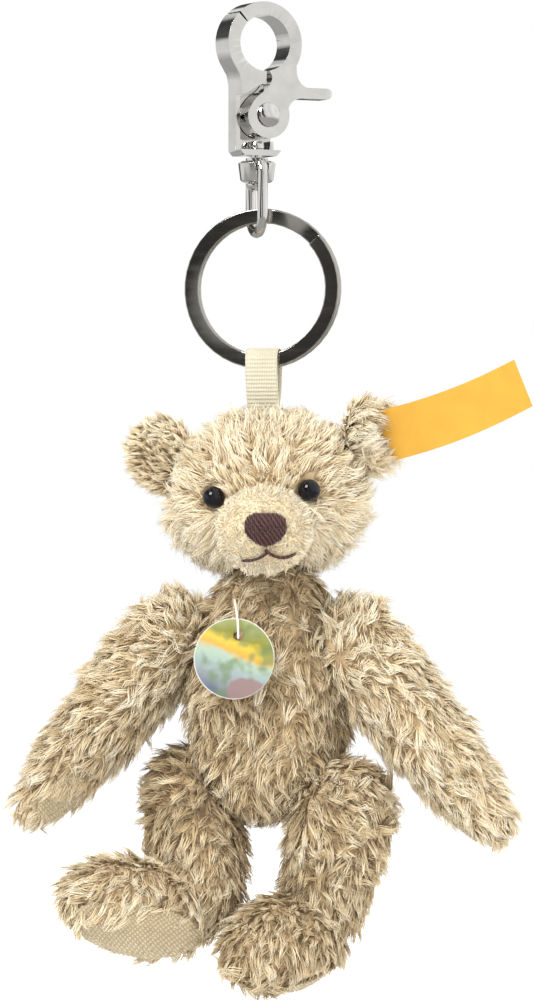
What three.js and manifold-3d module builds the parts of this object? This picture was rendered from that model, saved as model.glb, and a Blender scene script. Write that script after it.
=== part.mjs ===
// A small jointed plush bear on a key ring: snap hook, swivel, split ring, woven loop and bear.
// Millimetres, +Z up. The origin is the middle of the snap hook's eye, and the bear faces -Y.
import * as THREE from 'three';
import { mergeVertices } from 'three/addons/utils/BufferGeometryUtils.js';
import Module from 'manifold-3d';

const wasm = await Module();
wasm.setup();

// Driving dimensions
const GAP = 0.3; // between pieces that touch
const CLOTH = 0.9; // thickness of the woven backing of the plush

const HOOK = {
  turn: 28, // degrees about Z
  thickness: 5.6,
  eyeOuter: 8.3,
  eyeInner: 5.6,
  plate: 1,
  left: -5.4, // outer edges of the frame, across its own face
  right: 3.6,
  floorTop: -21.3,
  floorBottom: -22.5,
  split: 134, // degrees round the eye, where the jaws meet
};
const PIVOT = { u: 0.8, z: -14.3, boss: 4.7, shank: 1.2, dome: 2.6, pocket: 2.9 };
const THUMB = { tip: 15.2, top: -8.6, bottom: -10.8, depth: 3.6 };
const SWIVEL = { u: -0.45, shank: 1.1, head: 1.5, collar: 3.75, collarTop: -23.5, collarBottom: -27.7 };
const LINK = { turn: 19, wire: 1.1, eye: 1.5, spread: 3.6, corner: 1.4, bottom: -38.9 };
const RING = { turn: -15, x: 0.8, y: -0.5, z: -49, outer: 16, inner: 13.1, wire: 1.2, coil: 0.64 };
const RIBBON = { width: 6.6, thick: 0.45, half: 2.15, top: -60.8, end: -75.1 };

const HEAD = { x: 1.8, y: 0.5, z: -89, rx: 19, ry: 16.5, rz: 15.2, tilt: -3.5 };
const MUZZLE = { x: 1.2, y: -14.5, z: -96.8, rx: 9.3, ry: 10.6, rz: 8.6 };
const EYE = { radius: 2.2 };
const NECK = { x: 1.8, y: 0.5, z: -103.35 };
const TORSO = { x: 2.1, y: 0.5, depth: 0.9 };
const DISC = { neck: 4.8, shoulder: 4.2, hip: 4.4, thick: 1.2 };
const PIN = { radius: 1, bore: 1.25, deep: 2.3, shallow: 1.5 };
const TAG = { x: -4.8, y: -17.6, z: -122.4, radius: 8, thick: 0.8, hole: 1.1, lean: 10 };
const EAR_TAG = { width: 10.2, thick: 0.9 };

const COLOURS = {
  steel: [0xd8d8d6, 0.12, 1],
  darkSteel: [0x6a6660, 0.18, 1],
  ribbon: [0xf3ecd2, 0.8, 0],
  plush: [0xd9bd8c, 0.95, 0],
  shortPlush: [0xd2b083, 0.95, 0],
  filling: [0xf2efe6, 1, 0],
  card: [0xb59a6b, 0.9, 0],
  bead: [0x0b0b0d, 0.05, 0],
  thread: [0x3d231c, 0.7, 0],
  whiteThread: [0xf4f2ec, 0.8, 0],
  tape: [0xf6c021, 0.75, 0],
  print: [0xb9c77e, 0.35, 0],
};

const vec = (x, y, z) => new THREE.Vector3(x, y, z);
const radians = THREE.MathUtils.degToRad;

// three.js geometry to a closed solid and back
function solidOf(geometry) {
  const bare = geometry.index ? geometry.toNonIndexed() : geometry.clone();
  bare.deleteAttribute('normal');
  bare.deleteAttribute('uv');
  const merged = mergeVertices(bare, 1e-5);
  return new wasm.Manifold(new wasm.Mesh({
    numProp: 3,
    vertProperties: new Float32Array(merged.attributes.position.array),
    triVerts: new Uint32Array(merged.index.array),
  }));
}

function geometryOf(solid) {
  const mesh = solid.getMesh();
  const geometry = new THREE.BufferGeometry();
  geometry.setAttribute('position', new THREE.BufferAttribute(new Float32Array(mesh.vertProperties), 3));
  geometry.setIndex(new THREE.BufferAttribute(new Uint32Array(mesh.triVerts), 1));
  const flat = geometry.toNonIndexed();
  flat.computeVertexNormals();
  return flat;
}

const union = (...solids) => solids.reduce((all, next) => all.add(next));
const cut = (solid, ...tools) => tools.reduce((left, tool) => left.subtract(tool), solid);

// A primitive placed by a matrix
function placed(geometry, matrix) {
  return solidOf(geometry.clone().applyMatrix4(matrix));
}

function frameAt(origin, axis, scale = vec(1, 1, 1)) {
  const turn = new THREE.Quaternion().setFromUnitVectors(vec(0, 1, 0), axis.clone().normalize());
  return new THREE.Matrix4().compose(origin, turn, scale);
}

// Cylinder from a point along an axis
function rod(from, axis, length, radius, sides = 16) {
  const unit = axis.clone().normalize();
  const middle = from.clone().addScaledVector(unit, length / 2);
  return placed(new THREE.CylinderGeometry(radius, radius, length, sides), frameAt(middle, unit));
}

function lathe(points, sides) {
  return new THREE.LatheGeometry(points.map(([r, s]) => new THREE.Vector2(r, s)), sides);
}

function ellipsoid(centre, rx, ry, rz, sides = 16, rings = 10, turn = new THREE.Quaternion()) {
  const ball = new THREE.SphereGeometry(1, sides, rings);
  return placed(ball, new THREE.Matrix4().compose(centre, turn, vec(rx, ry, rz)));
}

// Everything beyond a plane: subtracting it leaves what lies on the side the normal points to
function beyond(point, normal, offset = 0) {
  const size = 160;
  const unit = normal.clone().normalize();
  const middle = point.clone().addScaledVector(unit, offset - size / 2);
  return placed(new THREE.BoxGeometry(size, size, size), frameAt(middle, unit));
}

function outline(points) {
  const shape = new THREE.Shape();
  shape.moveTo(...points[0]);
  points.slice(1).forEach(([a, b]) => shape.lineTo(a, b));
  shape.closePath();
  return shape;
}

// Extrudes a shape drawn across the hook's face (u, z) between two depths, front at +depth
function faceExtrude(shape, back, front, curveSegments = 12) {
  const block = new THREE.ExtrudeGeometry(shape, { depth: front - back, bevelEnabled: false, curveSegments });
  block.rotateX(Math.PI / 2);
  block.translate(0, -back, 0);
  return solidOf(block);
}

const parts = new THREE.Group();

function addPart(name, solid, colour, parent = parts) {
  const [color, roughness, metalness] = COLOURS[colour];
  const material = new THREE.MeshStandardMaterial({ color, roughness, metalness });
  const mesh = new THREE.Mesh(solid.isBufferGeometry ? solid : geometryOf(solid), material);
  mesh.name = name;
  parent.add(mesh);
  return mesh;
}

// Snap hook: frame with the fixed jaw, lever with the moving jaw, rivet and spring
const hookGroup = new THREE.Group();
hookGroup.rotation.z = radians(HOOK.turn);
parts.add(hookGroup);
const HALF = HOOK.thickness / 2;

function jawOutline(fromDegrees, toDegrees) {
  const shape = new THREE.Shape();
  const [from, to] = [radians(fromDegrees), radians(toDegrees)];
  shape.absarc(0, 0, HOOK.eyeOuter, from, to, false);
  shape.lineTo(HOOK.eyeInner * Math.cos(to), HOOK.eyeInner * Math.sin(to));
  shape.absarc(0, 0, HOOK.eyeInner, to, from, true);
  shape.closePath();
  return shape;
}

const floorHole = rod(vec(SWIVEL.u, 0, HOOK.floorBottom - 1), vec(0, 0, 1), 3, SWIVEL.shank + 0.2);
const eyeHole = rod(vec(0, -4, 0), vec(0, 1, 0), 8, HOOK.eyeInner, 32);
const rivetHole = rod(vec(PIVOT.u, -4, PIVOT.z), vec(0, 1, 0), 8, PIVOT.shank + 0.1);

function hookFrame() {
  const jaw = faceExtrude(jawOutline(HOOK.split + 1.5, 272), -HALF, HALF, 18);
  const web = faceExtrude(outline([
    [-6.9, -4.6], [-5.8, -6.4], [HOOK.left, -8.4], [HOOK.left, -10.4], [-4.2, -10.2], [-2.9, -9.4],
    [-0.4, -8.1], [0.3, -7.1], [0.3, -5.5], [-3, -4],
  ]), -HALF, HALF);
  const plate = faceExtrude(outline([
    [HOOK.left, -8], [0.3, -6.9], [HOOK.right, -9.6], [HOOK.right, HOOK.floorBottom + 1],
    [HOOK.right - 1, HOOK.floorBottom], [HOOK.left + 1, HOOK.floorBottom], [HOOK.left, HOOK.floorBottom + 1],
  ]), -HALF, HOOK.plate - HALF);
  const leftWall = faceExtrude(outline([
    [HOOK.left, -10], [HOOK.left + 1.05, -10], [HOOK.left + 1.05, HOOK.floorBottom + 0.6],
    [HOOK.left, HOOK.floorBottom + 1],
  ]), -HALF, 0.3);
  const rightWall = faceExtrude(outline([
    [HOOK.right - 0.8, -19.4], [HOOK.right, -19.4], [HOOK.right, HOOK.floorBottom + 1],
    [HOOK.right - 0.8, HOOK.floorBottom + 0.5],
  ]), -HALF, -0.4);
  const floorShape = outline([
    [HOOK.left, HOOK.floorTop], [HOOK.right, HOOK.floorTop], [HOOK.right, HOOK.floorBottom + 0.9],
    [HOOK.right - 0.9, HOOK.floorBottom], [HOOK.left + 0.9, HOOK.floorBottom],
    [HOOK.left, HOOK.floorBottom + 0.9],
  ]);
  const floor = faceExtrude(floorShape, -HALF, HALF - 0.2);
  return cut(union(jaw, web, plate, leftWall, rightWall, floor), floorHole, eyeHole, rivetHole);
}

const LEVER_BACK = HOOK.plate - HALF + GAP;

function triggerLever() {
  const jaw = faceExtrude(jawOutline(-62, HOOK.split - 1.5), -HALF, HALF, 22);
  const body = new THREE.Shape();
  body.moveTo(0.95, -5.45);
  body.lineTo(1.6, -6.7);
  body.quadraticCurveTo(1.5, -8.5, -0.6, -9.9);
  body.quadraticCurveTo(-3, -11.4, PIVOT.u - PIVOT.boss, PIVOT.z);
  body.absarc(PIVOT.u, PIVOT.z, PIVOT.boss, Math.PI, Math.PI * 2.1, false);
  body.quadraticCurveTo(6, -11, 8.2, THUMB.bottom);
  body.lineTo(9.6, THUMB.top);
  body.quadraticCurveTo(7, -8, 7.1, -4.3);
  body.lineTo(4.6, -4);
  body.closePath();
  const plate = faceExtrude(body, LEVER_BACK, HALF, 9);
  const thumb = new THREE.Shape();
  const middle = (THUMB.top + THUMB.bottom) / 2;
  const tipRadius = (THUMB.top - THUMB.bottom) / 2;
  thumb.moveTo(6, THUMB.top);
  thumb.lineTo(THUMB.tip - tipRadius, THUMB.top);
  thumb.absarc(THUMB.tip - tipRadius, middle, tipRadius, Math.PI / 2, -Math.PI / 2, true);
  thumb.lineTo(6, THUMB.bottom);
  thumb.closePath();
  const bar = faceExtrude(thumb, HALF - THUMB.depth, HALF, 8);
  const springPocket = rod(vec(PIVOT.u, -LEVER_BACK + 0.1, PIVOT.z), vec(0, -1, 0), 2.2, PIVOT.pocket, 24);
  return cut(union(jaw, plate, bar), springPocket, rivetHole, eyeHole);
}

function pivotRivet() {
  const profile = [
    [0, HALF + 1.35], [1.3, HALF + 1.15], [2.1, HALF + 0.75], [PIVOT.dome, HALF + GAP],
    [PIVOT.shank - 0.1, HALF + GAP], [PIVOT.shank - 0.1, -HALF - 0.2], [1.9, -HALF - 0.2],
    [1.7, -HALF - 0.7], [0, -HALF - 0.9],
  ];
  return placed(lathe(profile.reverse(), 20), frameAt(vec(PIVOT.u, 0, PIVOT.z), vec(0, -1, 0)));
}

class Helix extends THREE.Curve {
  constructor(radius, turns, rise) {
    super();
    Object.assign(this, { radius, turns, rise });
  }

  getPoint(t) {
    const angle = t * this.turns * Math.PI * 2;
    return vec(this.radius * Math.cos(angle), this.rise * (t - 0.5), this.radius * Math.sin(angle));
  }
}

function disc(radius, sides) {
  const corner = (_, i) => [radius * Math.cos(i * Math.PI * 2 / sides), radius * Math.sin(i * Math.PI * 2 / sides)];
  return outline(Array.from({ length: sides }, corner));
}

function tube(curve, radius, sides, steps) {
  return new THREE.ExtrudeGeometry(disc(radius, sides), { steps, extrudePath: curve, bevelEnabled: false });
}

function leverSpring() {
  const coil = tube(new Helix(2.1, 2.5, 1.2), 0.22, 5, 30);
  coil.translate(PIVOT.u, -LEVER_BACK - 1.05, PIVOT.z);
  return coil;
}

addPart('hook_frame', hookFrame(), 'steel', hookGroup);
addPart('trigger_lever', triggerLever(), 'steel', hookGroup);
addPart('pivot_rivet', pivotRivet(), 'steel', hookGroup);
addPart('lever_spring', leverSpring(), 'steel', hookGroup);

// Swivel: a headed post through the frame's floor, its collar, and the oblong link round them
const hookTurn = new THREE.Quaternion().setFromAxisAngle(vec(0, 0, 1), radians(HOOK.turn));
const swivelAxis = vec(SWIVEL.u, 0, 0).applyQuaternion(hookTurn);
const swivelGroup = new THREE.Group();
swivelGroup.position.copy(swivelAxis);
swivelGroup.rotation.z = radians(LINK.turn);
parts.add(swivelGroup);

function upright(points, sides) {
  return placed(lathe(points, sides), frameAt(vec(0, 0, 0), vec(0, 0, 1)));
}

const LINK_TOP = HOOK.floorBottom - GAP;

function swivelPost() {
  return upright([
    [0, -29.4], [1.5, -29.3], [2.1, -28.6], [2.1, -28], [SWIVEL.shank, -28], [SWIVEL.shank, -21],
    [SWIVEL.head, -21], [SWIVEL.head, -20.2], [1.2, -19.5], [0, -19.4],
  ], 16);
}

function swivelCollar() {
  const { collar, collarTop, collarBottom, shank } = SWIVEL;
  const ring = upright([
    [shank + 0.25, collarBottom], [collar - 0.9, collarBottom], [collar - 0.45, collarBottom + 0.4],
    [collar, collarTop - 0.5], [collar - 0.35, collarTop - 0.2], [collar - 0.8, collarTop],
    [shank + 0.25, collarTop], [shank + 0.25, collarBottom],
  ], 24);
  const legRoom = LINK.wire + GAP;
  const grooves = [-1, 1].map((side) => rod(
    vec(0, side * LINK.spread, collarBottom - 1), vec(0, 0, 1), 6, legRoom, 14));
  const barRoom = placed(new THREE.BoxGeometry(2 * legRoom, 10, 4),
    new THREE.Matrix4().makeTranslation(0, 0, LINK_TOP - 2 * LINK.wire - GAP + 2));
  const eyeRoom = rod(vec(0, 0, LINK_TOP - LINK.eye - GAP), vec(0, 0, 1), 4, shank + 1.1 + GAP, 16);
  return cut(ring, ...grooves, barRoom, eyeRoom);
}

// An oblong ring standing in the YZ plane, flattened along its top bar and bored for the post
class LinkWire extends THREE.Curve {
  getPoint(t) {
    const low = LINK.bottom + LINK.wire + LINK.spread;
    const high = LINK_TOP - LINK.wire;
    const corner = LINK.corner;
    const path = new THREE.CurvePath();
    path.add(new THREE.LineCurve3(vec(0, 0.6, high), vec(0, LINK.spread - corner, high)));
    path.add(new THREE.QuadraticBezierCurve3(
      vec(0, LINK.spread - corner, high), vec(0, LINK.spread, high), vec(0, LINK.spread, high - corner)));
    path.add(new THREE.LineCurve3(vec(0, LINK.spread, high - corner), vec(0, LINK.spread, low)));
    const length = path.getLength();
    const half = Math.PI * LINK.spread / 2;
    const mirrored = t > 0.5;
    const along = (mirrored ? 1 - t : t) * 2 * (length + half);
    const side = mirrored ? -1 : 1;
    if (along > length) {
      const angle = (along - length) / LINK.spread;
      return vec(0, side * LINK.spread * Math.cos(angle), low - LINK.spread * Math.sin(angle));
    }
    const point = path.getPointAt(along / length);
    return vec(0, side * point.y, point.z);
  }
}

function swivelLink() {
  const wire = solidOf(tube(new LinkWire(), LINK.wire, 8, 34));
  const eye = rod(vec(0, 0, LINK_TOP - LINK.eye), vec(0, 0, 1), LINK.eye - 0.12, SWIVEL.shank + 1.1, 14);
  const bore = rod(vec(0, 0, LINK_TOP - 4), vec(0, 0, 1), 8, SWIVEL.shank + 0.2);
  return cut(union(wire, eye), bore);
}

addPart('swivel_post', swivelPost(), 'steel', swivelGroup);
addPart('swivel_collar', swivelCollar(), 'steel', swivelGroup);
addPart('swivel_link', swivelLink(), 'steel', swivelGroup);

// Split ring: flat wire wound nearly twice round, stepping across where its two ends lie
const ringGroup = new THREE.Group();
ringGroup.position.set(RING.x, RING.y, RING.z);
ringGroup.rotation.z = radians(RING.turn);
parts.add(ringGroup);

class SplitCoil extends THREE.Curve {
  getPoint(t) {
    const degrees = 20 + t * 680;
    const cross = THREE.MathUtils.smootherstep(degrees, 344, 376);
    const radius = (RING.outer + RING.inner) / 2;
    const angle = radians(degrees + 62);
    return vec(radius * Math.cos(angle), RING.coil * (1 - 2 * cross), radius * Math.sin(angle));
  }
}

function splitRing() {
  const width = RING.outer - RING.inner;
  const section = outline([
    [-RING.wire / 2, -width / 2], [RING.wire / 2, -width / 2],
    [RING.wire / 2, width / 2], [-RING.wire / 2, width / 2],
  ]);
  return new THREE.ExtrudeGeometry(section, { steps: 84, extrudePath: new SplitCoil(), bevelEnabled: false });
}

addPart('split_ring', splitRing(), 'darkSteel', ringGroup);

// Woven loop from the ring into the head's top seam, and its sewn end inside the head
const ribbonGroup = new THREE.Group();
ribbonGroup.position.set(RING.x + 0.2, RING.y, 0);
ribbonGroup.rotation.z = radians(RING.turn);
parts.add(ribbonGroup);

function ribbonProfile(half, top, end, tail) {
  const shape = new THREE.Shape();
  const springing = top - half;
  shape.moveTo(tail, end);
  shape.lineTo(tail, end + 2);
  shape.bezierCurveTo(tail, end + 4.5, half, springing - 6, half, springing);
  shape.absarc(0, springing, half, 0, Math.PI, false);
  shape.bezierCurveTo(-half, springing - 6, -tail, end + 4.5, -tail, end + 2);
  shape.lineTo(-tail, end);
  shape.closePath();
  return shape;
}

function ribbonLoop() {
  const { width, thick, half, top, end } = RIBBON;
  const profile = ribbonProfile(half, top, end, 0.6);
  const hole = ribbonProfile(half - thick, top - thick, end + 3, 0.15);
  profile.holes.push(new THREE.Path(hole.getPoints(8)));
  const band = new THREE.ExtrudeGeometry(profile, { depth: width, bevelEnabled: false, curveSegments: 8 });
  band.translate(0, 0, -width / 2);
  band.applyMatrix4(new THREE.Matrix4().makeBasis(vec(0, 1, 0), vec(0, 0, 1), vec(1, 0, 0)));
  return band;
}

function ribbonTab() {
  const tab = new THREE.BoxGeometry(RIBBON.width, 1.2, 3.4);
  tab.translate(0, 0, RIBBON.end - GAP - 1.7);
  return tab;
}

addPart('ribbon_loop', ribbonLoop(), 'ribbon', ribbonGroup);
addPart('ribbon_tab', ribbonTab(), 'ribbon', ribbonGroup);

// A disc joint: a pin with a hardboard disc on each side of two layers of plush
function joint(point, axis, radius, reach) {
  const unit = axis.clone().normalize();
  return { point, axis: unit, radius, reach };
}

const SHOULDER_TILT = 17;
const HIP_TILT = -30;
const TORSO_TURN = -20;

function limbAxis(side, tilt) {
  const [turn, rise] = [radians(TORSO_TURN), radians(tilt)];
  return vec(side * Math.cos(turn) * Math.cos(rise), side * Math.sin(turn) * Math.cos(rise), Math.sin(rise));
}

// The middle of the flat where a limb meets the torso: a limb's centre dropped on to the joint plane
function flatCentre(centre, onPlane, axis) {
  const away = centre.clone().sub(onPlane).dot(axis);
  return centre.clone().addScaledVector(axis, -away);
}

const LIMBS = {
  arm_left: {
    side: -1, kind: 'shoulder', tilt: SHOULDER_TILT, onPlane: vec(-9.7, 4.7, -119.5),
    top: vec(-17.4, 3.2, -118.8), end: vec(-46.4, -0.5, -154.6), width: 1, padSide: vec(0.5, -0.75, -0.45),
  },
  arm_right: {
    side: 1, kind: 'shoulder', tilt: SHOULDER_TILT, onPlane: vec(14.4, -3.9, -119.5),
    top: vec(19, -4.5, -120), end: vec(48.4, -14, -157.6), width: 1.03, padSide: vec(-0.7, 0.3, -0.6),
  },
  leg_left: {
    side: -1, kind: 'hip', tilt: HIP_TILT, onPlane: vec(-7.9, 4.1, -147.4),
    top: vec(-13.2, 5, -150.4), end: vec(-11.5, -4, -169),
    foot: vec(-24, -10, -171.8), toe: vec(-0.9, -0.35, 0.24), sole: vec(0, -0.57, -0.82), length: 15.5,
  },
  leg_right: {
    side: 1, kind: 'hip', tilt: HIP_TILT, onPlane: vec(12.1, -3.1, -147.4),
    top: vec(17, -5.6, -152.2), end: vec(12.8, -2.5, -171.2),
    foot: vec(5.2, -8.5, -178.8), toe: vec(-0.62, -0.72, -0.25), sole: vec(-0.12, 0.3, -0.95), length: 14.5,
  },
};

for (const limb of Object.values(LIMBS)) {
  limb.axis = limbAxis(limb.side, limb.tilt);
  limb.centre = flatCentre(limb.top, limb.onPlane, limb.axis);
}

// Arm: a tapered sleeve, fullest above the elbow. Radii and stations are shares of its length
const ARM_PROFILE = [
  [0, -8.4], [4.2, -7.4], [7.2, -4.8], [8.6, -1], [8.7, 5], [8.4, 13], [7.9, 21], [6.9, 30],
  [5.6, 37.5], [4.1, 42], [2.2, 44.8], [0, 45.6],
];
const ARM_LENGTH = 45.6;

function armForm(limb, inset, sides = 14) {
  const span = limb.end.clone().sub(limb.top);
  const stretch = span.length() / ARM_LENGTH;
  const shrink = 1 - inset / (ARM_LENGTH * 0.55);
  const middle = ARM_LENGTH * 0.4;
  const points = ARM_PROFILE.map(([r, s]) => [
    r === 0 ? 0 : Math.max(r * limb.width - inset, 0.4), (middle + (s - middle) * shrink) * stretch,
  ]);
  return placed(lathe(points, sides), frameAt(limb.top, span, vec(1, 1, 0.92)));
}

function legForm(limb, inset, sides = 14) {
  const span = limb.end.clone().sub(limb.top);
  const length = span.length();
  const [thigh, ankle] = [9.2 - inset, 7.8 - inset];
  const points = [
    [0, -thigh], [thigh * 0.6, -thigh * 0.8], [thigh * 0.92, -thigh * 0.4], [thigh, 0], [thigh, length * 0.45],
    [ankle, length], [ankle * 0.9, length + ankle * 0.45], [ankle * 0.55, length + ankle * 0.85],
    [0, length + ankle],
  ];
  const leg = placed(lathe(points, sides), frameAt(limb.top, span));
  const toe = limb.toe.clone().normalize();
  const sole = limb.sole.clone().addScaledVector(toe, -limb.sole.dot(toe)).normalize();
  const across = toe.clone().cross(sole);
  const basis = new THREE.Matrix4().makeBasis(across, toe, sole).setPosition(limb.foot)
    .scale(vec(9.8 - inset, limb.length - inset, 8.8 - inset));
  const foot = placed(new THREE.SphereGeometry(1, sides, 9), basis);
  limb.soleNormal = sole;
  return union(leg, foot);
}

// Torso: an egg turned about its upright axis, narrow at the shoulders and full at the belly
const TORSO_PROFILE = [
  [0, -154.8], [5, -154.1], [8.4, -152.2], [11.3, -149], [13.3, -145], [14.9, -138], [15.9, -131],
  [15.5, -125], [14.2, -119], [12.5, -113.5], [10.2, -109], [8, -106], [6.6, -104], [5.4, -102.6], [0, -101.6],
];

function torsoForm(inset, sides = 16) {
  const middle = -129;
  const shrink = 1 - inset / 26;
  const points = TORSO_PROFILE.map(([r, z]) => [
    r === 0 ? 0 : Math.max(r - inset, 0.4), middle + (z - middle) * shrink,
  ]);
  const upright90 = frameAt(vec(TORSO.x, TORSO.y, 0), vec(0, 0, 1), vec(1, 1, TORSO.depth));
  return placed(lathe(points, sides), upright90);
}

const headTurn = new THREE.Quaternion().setFromAxisAngle(vec(0, 1, 0), radians(HEAD.tilt));
const headCentre = vec(HEAD.x, HEAD.y, HEAD.z);

function headForm(inset, sides = 18) {
  return ellipsoid(headCentre, HEAD.rx - inset, HEAD.ry - inset, HEAD.rz - inset, sides, 10, headTurn);
}

// Cover and filling of a stuffed form. Each plane is {point, inward}, and each joint leaves a pocket
function stuffed(name, form, planes, joints, extraCuts = [], fillingCuts = []) {
  const trimmed = (inset, sides) => cut(
    form(inset, sides), ...planes.map((p) => beyond(p.point, p.inward, GAP / 2 + inset)));
  const pinHoles = joints.map((j) => rod(
    j.point.clone().addScaledVector(j.axis, -4), j.axis, 8, PIN.bore + 0.1, 8));
  const pockets = joints.map((j) => rod(
    j.point, j.axis.clone().multiplyScalar(j.reach), 5.2, j.radius + 0.5, 12));
  addPart(`${name}_cover`, cut(trimmed(0), trimmed(CLOTH, 10), ...pinHoles, ...extraCuts), 'plush');
  addPart(`${name}_stuffing`, cut(trimmed(CLOTH + GAP, 10), ...pockets, ...fillingCuts), 'filling');
}

function discParts(name, at, inner, outer) {
  const { point, axis, radius } = at;
  const washer = (side) => {
    const start = point.clone().addScaledVector(axis, side * (side < 0 ? PIN.deep : PIN.shallow));
    const direction = axis.clone().multiplyScalar(side);
    const plate = rod(start, direction, DISC.thick, radius, 12);
    return cut(plate, rod(start.clone().addScaledVector(direction, -1), direction, 4, PIN.bore, 8));
  };
  addPart(`${name}_${inner}_disc`, washer(-1), 'card');
  addPart(`${name}_${outer}_disc`, washer(1), 'card');
  const far = PIN.shallow + DISC.thick + GAP;
  const near = -PIN.deep - DISC.thick - GAP;
  const profile = [
    [0, near - 0.6], [2, near - 0.6], [2, near], [PIN.radius, near], [PIN.radius, far], [2, far],
    [2, far + 0.6], [0, far + 0.6],
  ];
  addPart(`${name}_pin`, placed(lathe(profile, 8), frameAt(point, axis)), 'steel');
}

// Head
const neck = joint(vec(NECK.x, NECK.y, NECK.z), vec(0, 0, -1), DISC.neck, -1);
const slotAt = vec(RING.x + 0.2, RING.y, RIBBON.end);
const ribbonTurn = new THREE.Quaternion().setFromAxisAngle(vec(0, 0, 1), radians(RING.turn));

function ribbonRoom(size) {
  const matrix = new THREE.Matrix4().compose(slotAt, ribbonTurn, vec(1, 1, 1));
  return placed(new THREE.BoxGeometry(...size), matrix);
}

function onHead(x, z, lift = 0) {
  const across = (x - HEAD.x) / HEAD.rx;
  const up = (z - HEAD.z) / HEAD.rz;
  return vec(x, HEAD.y - HEAD.ry * Math.sqrt(1 - across * across - up * up) - lift, z);
}

const EYES = { left: onHead(-8.9, -90.7, 0.5), right: onHead(10, -89.3, 0.5) };
const eyeRooms = Object.values(EYES).map((at) => ellipsoid(
  at, EYE.radius + GAP, EYE.radius + GAP, EYE.radius + GAP, 12, 8));

stuffed('head', headForm, [{ point: neck.point, inward: vec(0, 0, 1) }], [neck],
  [ribbonRoom([RIBBON.width + 1.2, 5.4, 8]), ...eyeRooms],
  [ribbonRoom([RIBBON.width + 1.2, 5.4, 10]), ...eyeRooms]);

const muzzleCentre = vec(MUZZLE.x, MUZZLE.y, MUZZLE.z);

function muzzleForm(grow, sides = 16) {
  return ellipsoid(muzzleCentre, MUZZLE.rx + grow, MUZZLE.ry + grow, MUZZLE.rz + grow, sides, 10, headTurn);
}

addPart('muzzle_cover', cut(muzzleForm(0), muzzleForm(-CLOTH), headForm(-GAP),
  ...Object.values(EYES).map((at) => ellipsoid(at, 2.6, 2.6, 2.6, 12, 8))), 'shortPlush');

// Front-facing prism over the muzzle, for cutting a patch out of its skin
function patch(points) {
  const block = new THREE.ExtrudeGeometry(outline(points), { depth: 30, bevelEnabled: false });
  block.rotateX(Math.PI / 2);
  block.translate(0, -8, 0);
  return solidOf(block);
}

const NOSE = [
  [-2.7, -94.6], [-2.3, -93.9], [1.5, -93.6], [5.3, -93.7], [5.5, -94.4], [4.8, -97.2], [2.9, -99.6],
  [1.3, -100.4], [-0.3, -99.7], [-2, -97.5],
];
addPart('nose_stitching', cut(muzzleForm(1.2), muzzleForm(0.3)).intersect(patch(NOSE)), 'thread');

function onMuzzle(x, z, lift) {
  const across = (x - MUZZLE.x) / MUZZLE.rx;
  const up = (z - MUZZLE.z) / MUZZLE.rz;
  return vec(x, MUZZLE.y - MUZZLE.ry * Math.sqrt(1 - across * across - up * up) - lift, z);
}

function mouthThread() {
  const stitch = (...places) => {
    const curve = new THREE.CatmullRomCurve3(places.map(([x, z]) => onMuzzle(x, z, 0.75)));
    return solidOf(tube(curve, 0.34, 6, 7));
  };
  return union(
    stitch([1.5, -100.9], [1.6, -101.6], [0.3, -102.5], [-1.7, -103.1], [-3.4, -103.1]),
    stitch([1.4, -101.1], [2.6, -102], [4.2, -102.5], [5.8, -102.4], [7.4, -101.6]),
  );
}

addPart('mouth_stitching', mouthThread(), 'thread');
for (const [side, at] of Object.entries(EYES)) {
  addPart(`eye_${side}`, ellipsoid(at, EYE.radius, EYE.radius * 0.95, EYE.radius, 14, 8), 'bead');
}

// Ears: thin cupped discs standing off the head
function ear(centre, normal, rise) {
  const front = normal.clone().normalize();
  const up = rise.clone().addScaledVector(front, -rise.dot(front)).normalize();
  const basis = new THREE.Matrix4().makeBasis(up.clone().cross(front), up, front);
  const turn = new THREE.Quaternion().setFromRotationMatrix(basis);
  const body = ellipsoid(centre, 6.3, 7.2, 2.4, 14, 8, turn);
  const cup = ellipsoid(centre.clone().addScaledVector(front, 2.7), 4.7, 5.4, 2.3, 12, 7, turn);
  return cut(body, cup, headForm(-GAP));
}

const EARS = {
  left: { at: vec(-19.2, 1, -82.2), normal: vec(-0.25, -0.95, 0.1), rise: vec(-0.5, 0, 0.87) },
  right: { at: vec(21.6, 1.5, -78.6), normal: vec(0.8, -0.6, 0.1), rise: vec(0.3, 0.2, 0.93) },
};
const earTagRoot = vec(25.7, -2.6, -78.2);
const earTagTip = vec(52.6, -6, -67.8);

// Folded tape standing out from the right ear, gently curved
function earTag(thick, from, to, grow = 0) {
  const middle = from.clone().lerp(to, 0.5).add(vec(0.2, -1.6, -0.9));
  const line = new THREE.QuadraticBezierCurve3(from, middle, to);
  const side = to.clone().sub(from).cross(vec(0, 1, 0)).normalize();
  const wide = EAR_TAG.width / 2 + grow;
  const points = line.getPoints(8);
  const positions = [];
  const faces = [];
  points.forEach((p, i) => {
    const along = line.getTangent(i / 8);
    const out = side.clone().cross(along).normalize();
    [[-1, -1], [1, -1], [1, 1], [-1, 1]].forEach(([a, b]) => {
      const corner = p.clone().addScaledVector(side, a * wide).addScaledVector(out, b * thick / 2);
      positions.push(corner.x, corner.y, corner.z);
    });
    for (let k = 0; i && k < 4; k += 1) {
      const [a, b, c, d] = [4 * i - 4 + k, 4 * i - 4 + (k + 1) % 4, 4 * i + (k + 1) % 4, 4 * i + k];
      faces.push(a, c, b, a, d, c);
    }
  });
  const last = positions.length / 3 - 4;
  faces.push(0, 1, 2, 0, 2, 3, last, last + 2, last + 1, last, last + 3, last + 2);
  const geometry = new THREE.BufferGeometry();
  geometry.setAttribute('position', new THREE.Float32BufferAttribute(positions, 3));
  geometry.setIndex(faces);
  return solidOf(geometry);
}

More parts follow.
